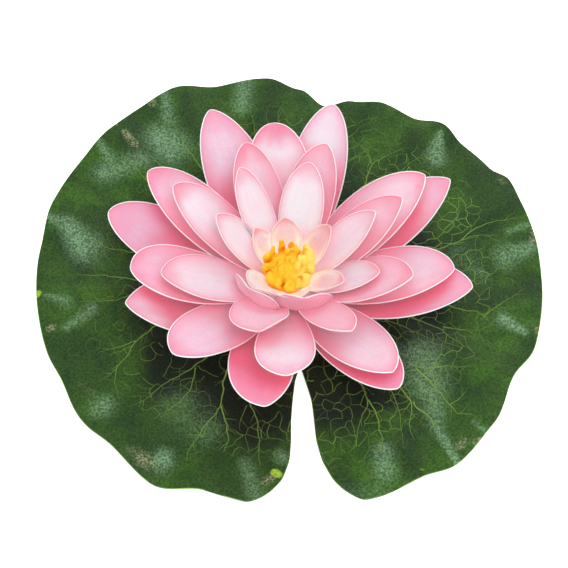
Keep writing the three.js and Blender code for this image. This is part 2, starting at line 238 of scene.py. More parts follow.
class PetalSettings(bpy.types.PropertyGroup):
    """Foam sheet, mesh and cut edge of the petals."""

    thickness: bpy.props.FloatProperty(
        name="Foam thickness", description="Thickness of the petals' foam sheet",
        default=1.4 * MM, min=0.5 * MM, max=3 * MM, unit="LENGTH")
    edge_round: bpy.props.FloatProperty(
        name="Edge rounding", description="Distance over which the cut edge is rounded off",
        default=0.5 * MM, min=0.1 * MM, max=1 * MM, unit="LENGTH")
    ripple: bpy.props.FloatProperty(
        name="Ripple", description="How far a petal's border waves out of its smooth shape",
        default=0.5 * MM, min=0, max=2 * MM, unit="LENGTH")
    rows: bpy.props.IntProperty(
        name="Rows", description="Mesh rows from root to tip of a petal", default=44, min=12)
    columns: bpy.props.IntProperty(
        name="Columns", description="Mesh columns across a petal", default=40, min=12)
    cut_edge: bpy.props.FloatVectorProperty(
        name="Cut edge", description="Colour of the undyed foam on the cut edges",
        default=(1.0, 0.95, 0.91), **COLOUR)


class PadSettings(bpy.types.PropertyGroup):
    """Sheet, print and veins of the lily pad."""

    grid: bpy.props.FloatProperty(
        name="Mesh spacing", description="Distance between the points of the pad's mesh",
        default=1.9 * MM, min=1 * MM, max=6 * MM, unit="LENGTH")
    cell: bpy.props.FloatProperty(
        name="Vein cell", description="Size of the cells in the net of fine veins",
        default=6.4 * MM, min=3 * MM, max=20 * MM, unit="LENGTH")
    vein_width: bpy.props.FloatProperty(
        name="Vein width", description="Width of a main vein where it leaves the flower",
        default=0.6 * MM, min=0.3 * MM, max=3 * MM, unit="LENGTH")
    leaf_green: bpy.props.FloatVectorProperty(
        name="Leaf green", description="Main colour of the printed pad",
        default=(0.024, 0.066, 0.010), **COLOUR)
    vein_green: bpy.props.FloatVectorProperty(
        name="Vein green", description="Colour of the veins",
        default=(0.27, 0.47, 0.08), **COLOUR)


class TuftSettings(bpy.types.PropertyGroup):
    """Lobes of the stamen tuft."""

    seed: bpy.props.IntProperty(
        name="Seed", description="Seed of the lobes' random lean and height", default=11)
    yellow: bpy.props.FloatVectorProperty(
        name="Tuft yellow", description="Colour of the tuft's foam",
        default=(0.970, 0.590, 0.0240), **COLOUR)


class StageSettings(bpy.types.PropertyGroup):
    """Floor and light."""

    floor: bpy.props.FloatVectorProperty(
        name="Floor", description="Colour of the plain floor",
        default=(0.97, 0.97, 0.97), **COLOUR)
    glow: bpy.props.FloatProperty(
        name="Floor glow", description="Light that the floor gives off, like a light table",
        default=0.8, min=0)
    sky: bpy.props.FloatProperty(
        name="Surrounding light", description="Strength of the even light all round",
        default=0.8, min=0)
    key: bpy.props.FloatProperty(
        name="Main light", description="Power of the large soft light", default=5.7, min=0,
        unit="POWER")


# -------------------- node trees

def label(name):
    """A socket's label from its name in this file."""
    return name.replace("_", " ").capitalize()


class Wire:
    """A value in a node tree, which can be added, multiplied and so on like a number."""

    def __init__(self, tree, socket):
        self.tree = tree
        self.socket = socket

    def math(self, operation, *others):
        return self.tree.node("Math", self, *others, operation=operation)

    def __rsub__(self, other):
        return self.tree.node("Math", other, self, operation="SUBTRACT")

    def __rtruediv__(self, other):
        return self.tree.node("Math", other, self, operation="DIVIDE")

    def __neg__(self):
        return self * -1

    def __abs__(self):
        return self.math("ABSOLUTE")

    def sine(self):
        return self.math("SINE")

    def cosine(self):
        return self.math("COSINE")

    def ease(self, low, high):
        """0 below low, 1 above high and smooth between them."""
        return self.tree.node("MapRange", self, low, high, 0.0, 1.0,
                              interpolation_type="SMOOTHSTEP")


# What a Wire does with one other value is one Math node each.
for name, operation in {
        "__add__": "ADD", "__radd__": "ADD", "__mul__": "MULTIPLY", "__rmul__": "MULTIPLY",
        "__sub__": "SUBTRACT", "__truediv__": "DIVIDE", "__pow__": "POWER", "__lt__": "LESS_THAN",
        "at_least": "MAXIMUM", "at_most": "MINIMUM"}.items():
    setattr(Wire, name, lambda wire, other, kind=operation: wire.math(kind, other))


class Tree:
    """A node tree under construction. Kinds of nodes go without ShaderNode or GeometryNode in front."""

    def __init__(self, tree):
        self.tree = tree
        self.family = tree.bl_idname.removesuffix("Tree")

    def add(self, kind):
        own = hasattr(bpy.types, self.family + kind)
        return self.tree.nodes.new((self.family if own else "ShaderNode") + kind)

    def node(self, kind, *values, output=0, **settings):
        """Adds a node, fills its open inputs in order and gives the wire of one output."""
        node = self.add(kind)
        for name, value in settings.items():
            setattr(node, name, value)
        for socket, value in zip([s for s in node.inputs if s.enabled], values):
            self.give(socket, value)
        return Wire(self, [socket for socket in node.outputs if socket.enabled][output])

    def give(self, socket, value):
        if isinstance(value, Wire):
            self.tree.links.new(value.socket, socket)
        elif value is not None:
            socket.default_value = value

    def give_all(self, node, values):
        """Fills the named inputs of a node."""
        for name, value in values.items():
            self.give(node.inputs[name], value)

    def wires(self, sockets):
        """The wires of named sockets."""
        return SimpleNamespace(**{s.name.lower().replace(" ", "_"): Wire(self, s)
                                  for s in sockets if s.name})

    def vector(self, x, y, z):
        return self.node("CombineXYZ", x, y, z)

    def parts(self, vector):
        """The x, y and z of a vector."""
        node = self.add("SeparateXYZ")
        self.give(node.inputs[0], vector)
        return [Wire(self, socket) for socket in node.outputs]

    def total(self, first, *others):
        for other in others:
            first = self.node("VectorMath", first, other, operation="ADD")
        return first

    def scaled(self, vector, factor):
        return self.node("VectorMath", vector, factor, operation="SCALE")

    def layered(self, colour, *layers):
        """A colour with others laid over it one by one, each as far as its share says."""
        for share, over in layers:
            under, over = [c if isinstance(c, Wire) else (*c, 1) for c in (colour, over)]
            colour = self.node("Mix", share, under, over, data_type="RGBA")
        return colour

    def noise(self, place, scale, detail=2.0, rough=0.5):
        return self.node("TexNoise", place, scale, detail, rough)

    def object_place(self):
        return self.node("TexCoord", output=3)

    def bump(self, height, distance, strength):
        """A surface raised by a height, in metres at full white."""
        return self.node("Bump", strength, distance, None, height)

    def named(self, name):
        """A mesh attribute of one number for each point."""
        if self.family == "GeometryNode":
            return self.node("InputNamedAttribute", name, data_type="FLOAT")
        return self.node("Attribute", attribute_name=name, output=2)

    def store(self, geometry, **values):
        for name, value in values.items():
            geometry = self.node("StoreNamedAttribute", geometry, None, name, value,
                                 data_type="FLOAT", domain="POINT")
        return geometry

    def join(self, *geometries):
        node = self.add("JoinGeometry")
        for geometry in reversed(geometries):
            self.tree.links.new(geometry.socket, node.inputs[0])
        return Wire(self, node.outputs[0])

    def use(self, name, **values):
        """Places a shader node group, made the first time it is used, and gives its outputs."""
        node = self.add("Group")
        node.node_tree = bpy.data.node_groups.get(name) or SHARED_GROUPS[name](name)
        self.give_all(node, {label(key): (*value, 1) if isinstance(value, tuple) else value
                             for key, value in values.items()})
        return self.wires(node.outputs)

    def give_out(self, **values):
        """Makes the group's outputs from these wires, and gives the finished group."""
        end = self.tree.nodes.new("NodeGroupOutput")
        for name, value in values.items():
            kind = {"colour": "Color", "geometry": "Geometry"}.get(name, "Float")
            self.tree.interface.new_socket(
                label(name), in_out="OUTPUT", socket_type="NodeSocket" + kind)
            self.tree.links.new(value.socket, end.inputs[label(name)])
        return self.tree

    def give_solid(self, geometry, material):
        """Closes a geometry tree with Realize Instances and Set Material."""
        real = self.node("RealizeInstances", geometry)
        return self.give_out(geometry=self.node("SetMaterial", real, None, material))


def new_group(name, family, **inputs):
    """A node group's tree and the wires of its named inputs. Each input is given by its default,
    or by its kind of socket where it has none."""
    group = bpy.data.node_groups.new(name, family + "NodeTree")
    for key, default in inputs.items():
        kind = {float: "Float", int: "Int", tuple: "Color"}.get(type(default), default)
        socket = group.interface.new_socket(
            label(key), in_out="INPUT", socket_type="NodeSocket" + kind)
        if kind != default:
            socket.default_value = default
    tree = Tree(group)
    return tree, tree.wires(group.nodes.new("NodeGroupInput").outputs)


def keep(name, data):
    """A finished mesh, light or camera as an object at the origin."""
    thing = bpy.data.objects.new(name, data)
    bpy.context.scene.collection.objects.link(thing)
    return thing


def shaped(start, group, **values):
    """The plain mesh that a geometry node group makes of a starting mesh."""
    host = keep("start", start)
    modifier = host.modifiers.new("shape", "NODES")
    modifier.node_group = group
    names = {label(key): value for key, value in values.items()}
    for item in group.interface.items_tree:
        if item.item_type == "SOCKET" and item.in_out == "INPUT" and item.name in names:
            modifier[item.identifier] = names.pop(item.name)
    if names:
        raise ValueError(f"{group.name} has no inputs named {sorted(names)}")
    graph = bpy.context.evaluated_depsgraph_get()
    mesh = bpy.data.meshes.new_from_object(
        host.evaluated_get(graph), preserve_all_data_layers=True, depsgraph=graph)
    if not mesh.polygons:
        raise RuntimeError(f"{group.name} made nothing")
    bpy.data.objects.remove(host)
    return mesh


def grow(name, start, group, **values):
    """A piece made by a geometry node group."""
    mesh = shaped(start, group, **values)
    mesh.name = name
    return keep(name, mesh)


def write_columns(mesh, columns):
    """Puts named numbers on the points of a mesh."""
    for key, values in columns.items():
        layer = mesh.attributes.new(key, "FLOAT", "POINT")
        layer.data.foreach_set("value", np.array(values, np.float32))


def points_mesh(name, columns, points=None, edges=()):
    """A mesh of loose points or edges that carries one attribute for each named column."""
    count = len(next(iter(columns.values())))
    mesh = bpy.data.meshes.new(name)
    mesh.from_pydata(points if points is not None else [(0, 0, 0)] * count, list(edges), [])
    write_columns(mesh, columns)
    return mesh


def dress(piece, slot, *nodes):
    """Puts a finished piece on the object, in place of its CAD nodes."""
    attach(piece, "root")
    if nodes:
        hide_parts(*nodes)


# -------------------- finishes

WHITE = (1, 1, 1, 1)
PAINTED_SHADOW_FRONT = 10                # the painted shadow round the flower is centred this far in front of the peg, mm
PAINTED_SHADOW_REACH = (0.060, 0.094)    # where it starts to fade and where it ends, m


def new_material(name):
    """A material, its tree and its Principled BSDF."""
    material = bpy.data.materials.new(name)
    material.use_nodes = True
    return material, Tree(material.node_tree), material.node_tree.nodes["Principled BSDF"]


def foam_grain_group(name):
    """Fine closed cells of foam: a light and dark mottle, and its height."""
    tree, ask = new_group(name, "Shader", fine_scale=1500.0, coarse_scale=160.0)
    place = tree.object_place()
    fine = tree.noise(place, ask.fine_scale, 3.0, 0.6)
    coarse = tree.noise(place, ask.coarse_scale, 3.0)
    return tree.give_out(fine=fine, coarse=coarse, height=fine * 0.7 + coarse * 0.3)


def petal_dye_and_shade_group(name):
    """Colour of a petal: pale or pink foam by its own depth of dye, a deeper root, border and tip,
    painted rose shade where other petals shelter it, a thin line inside the cut edge, and the cut
    edge itself. Its second output is a faint glow painted where the petal is sheltered, in place of
    light let in by the thin foam."""
    tree, ask = new_group(
        name, "Shader", pale=WHITE, pink=WHITE, tip=WHITE, root=WHITE, rose=(0.91, 0.14, 0.26, 1),
        cut_edge=WHITE, root_end=0.45, border=0.4, deep=0.8, border_width=7.5, edge_width=0.4,
        through=0.0524, fine=0.5, coarse=0.5)
    along = tree.named("along")
    edge = tree.named("edge")
    shelter = tree.named("shelter")
    uneven = (ask.coarse - 0.5) * 0.35
    streak = tree.noise(tree.vector(tree.named("across") * 7, along * 1.6,
                                    tree.named("tone") * 30), 1.0) - 0.5
    depth = tree.named("dye") + uneven * 0.7 + streak * 0.45 + (ask.fine - 0.5) * 1.9
    inward = edge + uneven * 9
    side = (1 - inward.ease(0.0, ask.border_width * 2)) * (1 - along.ease(0.5, 0.95))
    flush = (along + uneven * 0.5).ease(0.78, 1.02) * tree.named("flush")
    rim = 1 - inward.ease(-1.5, ask.border_width)
    beyond = edge - ask.edge_width
    line = beyond.ease(-0.1, 0.25) * (1 - beyond.ease(0.35, 1.2))
    colour = tree.layered(
        ask.pale,
        (depth.at_least(0), ask.pink),
        ((depth - 1).ease(0, 0.8), ask.root),
        (1 - (along + uneven).ease(0.08, ask.root_end), ask.root),
        (side * ask.border, ask.root),
        (flush.at_most(1), ask.tip),
        (rim * ask.border, ask.tip),
        ((1 - tree.named("face").ease(-0.5, 0.5)) * 0.2, ask.tip),
        # painted shade: rose where other petals shelter the petal
        (shelter.ease(0.28, 0.75) * ask.deep, ask.rose),
        (line * 0.4, ask.rose))
    shaded = tree.scaled(colour, 1 + (ask.fine - 0.5) * 0.42 + streak * 0.05)
    # painted glow: a faint glow where the petal is sheltered, in place of light let in by the foam
    return tree.give_out(
        colour=tree.layered(shaded, (1 - beyond.ease(-0.1, 0.1), ask.cut_edge)),
        through=shelter.ease(0.3, 0.9) * ask.through)


def petal_material(name, dyes, cut_edge):
    material, tree, shader = new_material(name)
    grain = tree.use("Foam grain", fine_scale=1100.0, coarse_scale=90.0)
    dye = tree.use("Dyed petal", cut_edge=cut_edge, fine=grain.fine, coarse=grain.coarse, **dyes)
    tree.give_all(shader, {
        "Base Color": dye.colour, "Roughness": 0.55, "Specular IOR Level": 0.35,
        "Subsurface Weight": 0.7, "Subsurface Radius": (1.0, 0.35, 0.4),
        # painted glow, given off where other petals shelter the petal
        "Subsurface Scale": 5 * MM, "Emission Color": dye.through, "Emission Strength": 1,
        "Normal": tree.bump(grain.height, 0.12 * MM, 0.6)})
    return material


def leaf_print_and_light_group(name):
    """Colour of the pad: printed mottled greens, a painted shadow round the flower and where other
    pieces shelter it, painted shade in the valleys, a painted sheen on the crests, tan scuffs and
    yellow spots, all broken up by the fine dots of its pressed grain."""
    tree, ask = new_group(name, "Shader", leaf_green=WHITE, dot_scale=850.0)
    place = tree.object_place()
    x, y, _ = tree.parts(place)
    wide = tree.noise(place, 24.0)
    middle = tree.noise(place, 62.0)
    dots = tree.noise(place, ask.dot_scale, 2.0, 0.6)
    reach = (x * x + y * y) ** 0.5
    ray = tree.noise(tree.vector(x / reach * 9, y / reach * 9, reach * 15), 1.0)
    # painted shadow round the flower, with painted shade where other pieces shelter the pad
    reach = (x * x + (y + PAINTED_SHADOW_FRONT * MM) ** 2) ** 0.5
    painted_shadow = 1 - (reach + (wide - 0.5) * 0.09 + (middle - 0.5) * 0.03).ease(*PAINTED_SHADOW_REACH)
    painted_shadow = (painted_shadow * 0.75 + tree.named("shelter").ease(0.1, 0.6)).at_most(1)
    # painted sheen on the crests, with paler specks that follow the grain
    painted_sheen = tree.named("painted_sheen") * (0.3 + middle * 0.7 + (1 - ray) * 0.7)
    sheen_specks = painted_sheen * (1 - dots.ease(0.3, 0.7)) * 0.42
    scuff = (tree.named("scuff") + (middle - 0.5) * 1.6).ease(0.25, 1.1) * 0.7
    spot = (tree.named("spot") + (dots - 0.5) * 0.8).ease(0.35, 0.6)
    colour = tree.layered(
        ask.leaf_green,
        (wide.ease(0.4, 0.62), (0.040, 0.112, 0.010)),
        (middle.ease(0.45, 0.65) * 0.6, (0.014, 0.050, 0.010)),
        (ray.ease(0.5, 0.75) * 0.6, (0.014, 0.050, 0.010)),
        (painted_shadow * 0.93, (0.006, 0.013, 0.008)),
        # painted shade in the valleys of the folds
        (tree.named("valley_shade") * 0.85, (0.008, 0.028, 0.008)),
        ((painted_sheen * 0.85).at_most(1), (0.130, 0.265, 0.110)),
        (sheen_specks.at_most(1), (0.32, 0.48, 0.36)),
        (scuff * (1 - dots.ease(0.4, 0.6) * 0.8), (0.36, 0.36, 0.20)),
        (spot * 0.8, (0.33, 0.53, 0.04)))
    colour = tree.scaled(colour, 1.31 - dots.ease(0.34, 0.66) * 0.68)
    return tree.give_out(colour=colour, dots=dots, middle=middle)


def pad_material(name, settings, vein=False):
    material, tree, shader = new_material(name)
    leaf = tree.use("Leaf print", leaf_green=tuple(settings.leaf_green))
    if vein:
        layers = [(tree.named("fade"), tuple(settings.vein_green))]
    else:
        back = 1 - tree.named("face").ease(-0.5, 0.5)
        cut = 1 - tree.named("edge").ease(0.15, 0.4)
        layers = [(back, (0.028, 0.095, 0.02)),
                  (cut * leaf.middle.ease(0.3, 0.6), (0.30, 0.46, 0.12))]
    tree.give_all(shader, {
        "Base Color": tree.layered(leaf.colour, *layers), "Specular IOR Level": 0.18,
        "Roughness": leaf.dots * 0.3 + 0.3,
        "Normal": tree.bump(leaf.dots * 0.6 + leaf.middle * 0.6, 0.25 * MM, 0.7)})
    return material


def tuft_material(yellow):
    material, tree, shader = new_material("tuft_foam")
    grain = tree.use("Foam grain", fine_scale=1400.0, coarse_scale=260.0)
    # painted shade: orange in the hollows, where the lobes and the petals shelter the tuft, in uneven
    # patches; painted highlight: pale yellow, most of it towards the right side
    hollow = tree.named("shelter") + (grain.coarse - 0.5) * 0.5
    x, _, _ = tree.parts(tree.object_place())
    pale = (grain.coarse + x * 40).ease(0.5, 0.95)
    tree.give_all(shader, {
        "Base Color": tree.layered(yellow, (hollow.ease(0.3, 0.85), (0.92, 0.38, 0.0)),
                                   (pale * 0.8, (1.0, 0.82, 0.18))),
        "Roughness": 0.6, "Specular IOR Level": 0.3, "Subsurface Weight": 0.4,
        "Subsurface Radius": (1.0, 0.6, 0.1), "Subsurface Scale": 2 * MM,
        "Normal": tree.bump(grain.height, 0.3 * MM, 0.7)})
    return material


def peg_material():
    material, tree, shader = new_material("peg_plastic")
    grain = tree.use("Foam grain", fine_scale=2200.0, coarse_scale=220.0)
    tree.give_all(shader, {
        "Base Color": tree.layered((0.035, 0.09, 0.03),
                                   (grain.coarse.ease(0.3, 0.7), (0.05, 0.12, 0.04))),
        "Roughness": grain.coarse * 0.2 + 0.32,
        "Normal": tree.bump(grain.fine, 0.03 * MM, 0.5)})
    return material


SHARED_GROUPS = {"Foam grain": foam_grain_group, "Dyed petal": petal_dye_and_shade_group,
                 "Leaf print": leaf_print_and_light_group}


# -------------------- petals

BELLY = 0.8             # how early a petal reaches its full width
TIP_CROWD = 1.7         # crowding of the rows towards the tip
SIDE_CROWD = 1.8        # crowding of the columns towards both sides


def petal_group():
    """A rosette from one point for each petal. A grid stands on every point, its rows follow a
    curling spine, and its columns follow a cupped arc with a rounded cut edge."""
    tree, ask = new_group(
        "Petal rosette", "Geometry", geometry="Geometry", reach=8 * MM, level=6 * MM, cup=0.6,
        thickness=1.4 * MM, edge_round=0.5 * MM, ripple=0.5 * MM, root_width=0.28, rows=44,
        columns=40, material="Material")
    rows = ask.rows
    columns = ask.columns
    x, y, _ = tree.parts(tree.node("InputPosition"))
    grid = tree.node("MeshGrid", 1.0, 1.0, rows + 1, columns + 1)
    grid = tree.store(grid, row=x + 0.5, column=y * 2)
    blades = tree.node("InstanceOnPoints", ask.geometry, None, grid)
    blades = tree.node("RealizeInstances", blades)

    row = tree.named("row")
    column = tree.named("column")
    azimuth = tree.named("azimuth")
    length = tree.named("length")
    tip = tree.named("tip")
    s = 1 - (1 - row).at_least(0) ** TIP_CROWD
    t = column.math("SIGN") * (1 - (1 - abs(column)).at_least(0) ** SIDE_CROWD)
    at_root = row < 0.5 / rows

    def heading(share):
        """Rise and turn of the spine at a share of its length. A folded petal turns near its root
        and bends in its middle."""
        fold = tree.named("fold")
        bent = share * (1 - fold) + share.ease(0.42, 0.68) * fold - 0.5
        swept = share * (1 - fold) + share.ease(0, 0.4) * fold - 0.5
        return (tree.named("pitch") + tree.named("curl") * bent,
                azimuth + tree.named("sweep") * swept)

    def toward(rise, turn):
        level = rise.cosine()
        return tree.vector(level * turn.cosine(), level * turn.sine(), rise.sine())

    next_s = 1 - (1 - row - 1 / rows).at_least(0) ** TIP_CROWD
    step = tree.scaled(toward(*heading((s + next_s) / 2)), length * (next_s - s))
    lane = tree.named("petal") * (columns + 1) + ((column + 1) * columns / 2).math("ROUND")
    run = tree.node("AccumulateField", step, lane, output=1, data_type="FLOAT_VECTOR",
                    domain="POINT")
    foot = ask.reach - at_root * TAB * MM
    centre = tree.total(run, tree.vector(foot * azimuth.cosine(), foot * azimuth.sine(),
                                         ask.level))

    peak = BELLY / (tip + BELLY)
    full = peak ** BELLY * (1 - peak) ** tip
    blade = s ** BELLY * (1 - s).at_least(0) ** tip / full
    neck = (s < 0.5) * ask.root_width * (1 - s).at_least(0) ** 0.5
    width = tree.named("half_width") * blade.at_least(neck) * (1 - at_root * 0.3)
    slope = width / length * (BELLY / s.at_least(0.03) - tip / (1 - s).at_least(0.0001))
    edge = width * (1 - abs(t)) / (slope * slope + 1) ** 0.5
    inset = 1 - (edge / ask.edge_round).at_most(1)
    taper = 0.5 + 0.5 * edge.ease(0.0, 5 * MM)
    thick = ask.thickness / 2 * taper * (1 - inset ** 3) ** (1 / 3) * (1 - at_root)

    wave = tree.noise(tree.vector(s * 3.2, t * 1.1, tree.named("tone") * 40), 1.0, 1.0)
    wave = (wave - 0.5) * 2 * ask.ripple * (t * t + 0.3) * s.ease(0.15, 0.6)

    rise, turn = heading(s)
    rise = rise * (1 - at_root)
    side = tree.vector(-turn.sine(), turn.cosine(), 0.0)
    lift = -rise.sine()
    up = tree.vector(lift * turn.cosine(), lift * turn.sine(), rise.cosine())
    bend = ask.cup * t
    radius = width / ask.cup

    def sheet(sign):
        """One face of the petals, 1 for the front and -1 for the back."""
        offset = thick * sign
        u = (radius - offset) * bend.sine()
        v = radius - (radius - offset) * bend.cosine() + wave
        place = tree.total(centre, tree.scaled(side, u), tree.scaled(up, v))
        face = tree.store(blades, along=s, across=t, edge=edge / MM, face=s * 0 + sign)
        return tree.node("SetPosition", face, None, place)

    back = tree.node("FlipFaces", sheet(-1))
    closed = tree.node("MergeByDistance", tree.join(sheet(1), back), None, 0.0005 * MM)

    outer = ask.reach + DISC_SPARE * MM
    ring_radius = (outer + PEG_HOLE * MM) / 2
    ring = tree.node("Transform", tree.node("CurvePrimitiveCircle", 48), None, None,
                     tree.vector(ring_radius, ring_radius, 1.0))
    bar = tree.node("CurvePrimitiveQuadrilateral", outer - PEG_HOLE * MM,
                    (DISC_BELOW + DISC_ABOVE) * MM)
    disc = tree.node("Transform", tree.node("CurveToMesh", ring, bar), tree.vector(
        0.0, 0.0, ask.level + (DISC_ABOVE - DISC_BELOW) / 2 * MM))
    smooth = tree.node("SetShadeSmooth", closed)
    return tree.give_solid(tree.join(smooth, tree.store(disc, edge=9.0)), ask.material)


def petal_columns(rosette, seed):
    """Azimuth, size and bend of each petal of a rosette, in metres and radians."""
    draw = random.Random(seed)
    names = ("petal", "azimuth", "length", "half_width", "pitch", "curl", "sweep", "tip", "dye",
             "flush", "fold", "tone")
    rows = []
    for azimuth, longer, steeper, wider, sweep, tip, dye, flush, *fold in rosette["petals"]:
        curl = fold[0] if fold else rosette["curl"]
        rows.append((len(rows), math.radians(azimuth), (rosette["length"] + longer) * MM,
                     (rosette["width"] + wider) / 2 * MM,
                     math.radians(rosette["pitch"] + steeper), math.radians(curl),
                     math.radians(sweep), tip, dye, flush, len(fold), draw.uniform(-1, 1)))
    return dict(zip(names, zip(*rows)))


# -------------------- pad

SEARCH_STEPS = 26       # halvings that find how far out on the pad a point lies
LINE_STEP = 1.0         # spacing of the points on lines that are smoothed, mm
CUT_STEP = 1.1          # spacing of the points on the pad's cut line, mm
CUT_ROUNDS = 6          # times that the cut line is smoothed
EDGE_RINGS = (0.1, 0.3, 0.6, 1.0)       # rings of points inside the pad's cut line, mm
PAD_EDGE_ROUND = 0.7    # distance over which the pad's cut edge is rounded off, mm
PAD_EDGE_TAPER = 6      # distance over which the sheet thins towards its cut edge, mm
PAD_EDGE_SHARE = 0.55   # share of the sheet's thickness that is left at the cut edge
FIELD_X = (-150, 150)   # the field of points that the pad is cut from, mm
FIELD_Y = (-150, 165)
CLEAR_OF_RINGS = 0.5    # its points stay this far from the rings inside the cut line, mm
CLEAR_OF_HOLE = 0.8     # and this far from the peg's hole
HOLE_POINTS = 32
ON_EDGE = 2e-3          # a point nearer than this to the cut line lies on it, mm
NO_AREA = 1e-7          # a triangle smaller than this is left out, mm2


def around(radius, turns):
    """Points round the axis at radii and turns in radians."""
    return np.column_stack([radius * np.cos(turns), radius * np.sin(turns)])


def rim_at(degrees):
    """Radius and height of the pad's edge at azimuths, eased between its crests and hollows."""
    turns, *measures = np.array([*RIM, (360, *RIM[0][1:])], float).T
    turn = np.mod(degrees, 360.0)
    after = np.clip(np.searchsorted(turns, turn, side="right"), 1, len(turns) - 1)
    t = (turn - turns[after - 1]) / (turns[after] - turns[after - 1])
    ease = t * t * (3 - 2 * t)
    return [m[after - 1] + (m[after] - m[after - 1]) * ease for m in measures]


def pad_share(x, y):
    """How far out on the pad points lie, 0 at the peg and 1 at the edge, and their azimuths as
    seen from the pad's centre. Millimetres."""
    low = np.full(x.shape, 1e-4)
    high = np.full(x.shape, 1.3)
    for _ in range(SEARCH_STEPS):
        share = (low + high) / 2
        dx = x / share - PAD_CENTRE[0]
        dy = y / share - PAD_CENTRE[1]
        turn = np.degrees(np.arctan2(dy, dx))
        outside = np.hypot(dx, dy) > rim_at(turn)[0]
        low = np.where(outside, share, low)
        high = np.where(outside, high, share)
    return share, turn


def pad_height(x, y):
    """Height of the middle of the pad's sheet. Millimetres."""
    share, turn = pad_share(x, y)
    height = PAD_HUB + (rim_at(turn)[1] - PAD_HUB) * np.minimum(share, 1) ** PAD_RISE
    for azimuth, rise, half, middle, run in FOLDS:
        off = (turn - azimuth + 180) % 360 - 180
        height += rise * np.exp(-(off / half) ** 2 - ((share - middle) / run) ** 2)
    return height


def inside(polygon, points):
    """Whether points lie inside a polygon."""
    x, y = points.T
    result = np.zeros(x.shape, bool)
    for (x0, y0), (x1, y1) in zip(polygon, np.roll(polygon, -1, axis=0)):
        crosses = (y0 > y) != (y1 > y)
        with np.errstate(divide="ignore", invalid="ignore"):
            result ^= crosses & (x < (x1 - x0) * (y - y0) / (y1 - y0) + x0)
    return result


def along_line(line, places_for):
    """Points of a line at the places along it that a function gives for its whole length."""
    run = np.concatenate([[0], np.cumsum(np.hypot(*np.diff(line, axis=0).T))])
    places = places_for(run[-1])
    return np.column_stack([np.interp(places, run, line[:, k]) for k in range(2)])


def resample(line, spacing):
    """A closed line with its points a spacing apart."""
    return along_line(np.vstack([line, line[:1]]),
                      lambda size: np.linspace(0, size, int(size / spacing), endpoint=False))


def strokes(marks, x, y):
    """How strongly soft strokes show at places, 0 to 1. Millimetres."""
    shown = np.zeros(x.shape)
    for x0, y0, r0, x1, y1, r1, strength in marks:
        dx, dy = x1 - x0, y1 - y0
        t = np.clip(((x - x0) * dx + (y - y0) * dy) / (dx * dx + dy * dy), 0, 1)
        gap = np.hypot(x - x0 - t * dx, y - y0 - t * dy) / (r0 + (r1 - r0) * t)
        shown = np.maximum(shown, strength * np.exp(-0.7 * gap ** 2.4))
    return shown


def mark_and_painted_light_columns(x, y):
    """The marks on the pad at places: painted sheen, painted shade in the valleys, scuffs and spots.
    Millimetres.
    """
    return {name: strokes(marks, x, y) for name, marks in MARKS.items()}


def pad_outline():
    """The pad's cut line: its rim, and the slot with rounded lips. Millimetres."""
    turns = np.arange(-90, 270, 0.5)
    rim = PAD_CENTRE + around(rim_at(turns)[0], np.radians(turns))
    notch = np.array(NOTCH, float)
    beyond = np.argmax(~inside(rim, notch))
    lips = np.roll(notch, -beyond, axis=0)[::-1]
    lips = lips[inside(rim, lips)]
    kept = rim[~inside(notch, rim)]
    start = np.argmin(np.hypot(*(kept - lips[-1]).T))
    line = resample(np.vstack([np.roll(kept, -start, axis=0), lips]), LINE_STEP)
    for _ in range(CUT_ROUNDS):
        line = (np.roll(line, 1, axis=0) + 2 * line + np.roll(line, -1, axis=0)) / 4
    return resample(line, CUT_STEP)


def distance_to(line, points):
    """Distance of points from a closed line."""
    best = np.full(len(points), 1e9)
    for a, b in zip(line, np.roll(line, -1, axis=0)):
        along = b - a
        t = np.clip(((points - a) @ along) / (along @ along), 0, 1)
        best = np.minimum(best, np.hypot(*(points - a - t[:, None] * along).T))
    return best


def triangulated(points, loops=()):
    """Triangles between points, with edges along the loops: places and corner numbers."""
    flat = delaunay_2d_cdt([Vector(p) for p in points], list(loops), [], 0, 1e-5)
    return np.array([tuple(v) for v in flat[0]]), np.array(flat[2])


def pad_field(outline, spacing):
    """Points in even rows inside the cut line and clear of its rings and of the peg's hole."""
    gx, gy = np.meshgrid(np.arange(*FIELD_X, spacing),
                         np.arange(*FIELD_Y, spacing * math.sqrt(3) / 2))
    gx = gx + (np.arange(len(gx)) % 2)[:, None] * spacing / 2
    field = np.column_stack([gx.ravel(), gy.ravel()])
    field = field[inside(outline, field)]
    return field[(distance_to(outline, field) > EDGE_RINGS[-1] + CLEAR_OF_RINGS)
                 & (np.hypot(*field.T) > PEG_HOLE + CLEAR_OF_HOLE)]


